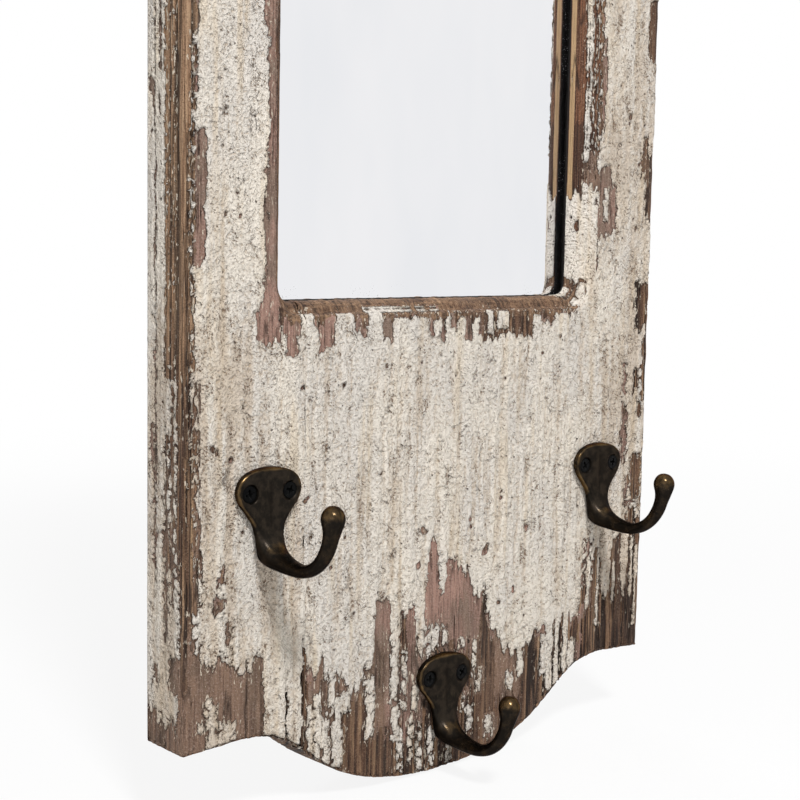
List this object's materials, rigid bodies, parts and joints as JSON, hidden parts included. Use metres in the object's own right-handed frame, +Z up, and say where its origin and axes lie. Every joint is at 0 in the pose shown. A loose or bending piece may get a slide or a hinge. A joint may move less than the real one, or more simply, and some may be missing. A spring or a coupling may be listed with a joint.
{
  "type": "wall mirror with hooks",
  "caption": "Tall wall mirror in a weathered painted board frame with a curved foot and crest, cast coat hooks below the glass and swinging ring hangers on the back.",
  "frame": {"origin": "middle of the board's flat back face, level with its two bottom corners", "axes": "+X right as seen from the front, +Y into the wall, +Z up; the painted front and the hooks face -Y"},
  "size_m": [0.235, 0.0696, 0.6592],
  "materials": {
    "painted_board": "old flaking cream paint over weathered softwood",
    "dowel_wood": "plain beech",
    "mirror": "silvered glass",
    "tape": "matt black foam tape",
    "hardboard": "smooth brown hardboard",
    "zinc_screw": "zinc plated",
    "dark_bronze": "dark antique patina, rubbed to brass on the edges",
    "black_screw": "black oxide",
    "brass_plate": "bright brass plating",
    "felt": "brown wool felt"
  },
  "bodies": {
    "frame": {"left_stile": "painted_board", "right_stile": "painted_board", "top_rail": "painted_board", "bottom_rail": "painted_board", "upper_dowels": "dowel_wood", "lower_dowels": "dowel_wood", "mirror_glass": "mirror", "glazing_tape": "tape", "backing_board": "hardboard", "backing_screws": "zinc_screw", "left_hook": "dark_bronze", "centre_hook": "dark_bronze", "right_hook": "dark_bronze", "left_hook_screws": "black_screw", "centre_hook_screws": "black_screw", "right_hook_screws": "black_screw", "left_hanger_strap": "brass_plate", "right_hanger_strap": "brass_plate", "left_hanger_screw": "brass_plate", "right_hanger_screw": "brass_plate", "wall_bumpers": "felt"},
    "left_ring": {"left_hanger_ring": "brass_plate"},
    "right_ring": {"right_hanger_ring": "brass_plate"}
  },
  "joints": [
    {"name": "left_ring_swing", "type": "hinge", "parent": "frame", "child": "left_ring", "pos_m": [-0.0925, 0.00215, 0.568], "axis": [1, 0, 0], "range_deg": [0, 175]},
    {"name": "right_ring_swing", "type": "hinge", "parent": "frame", "child": "right_ring", "pos_m": [0.0925, 0.00215, 0.568], "axis": [1, 0, 0], "range_deg": [0, 175]}
  ]
}
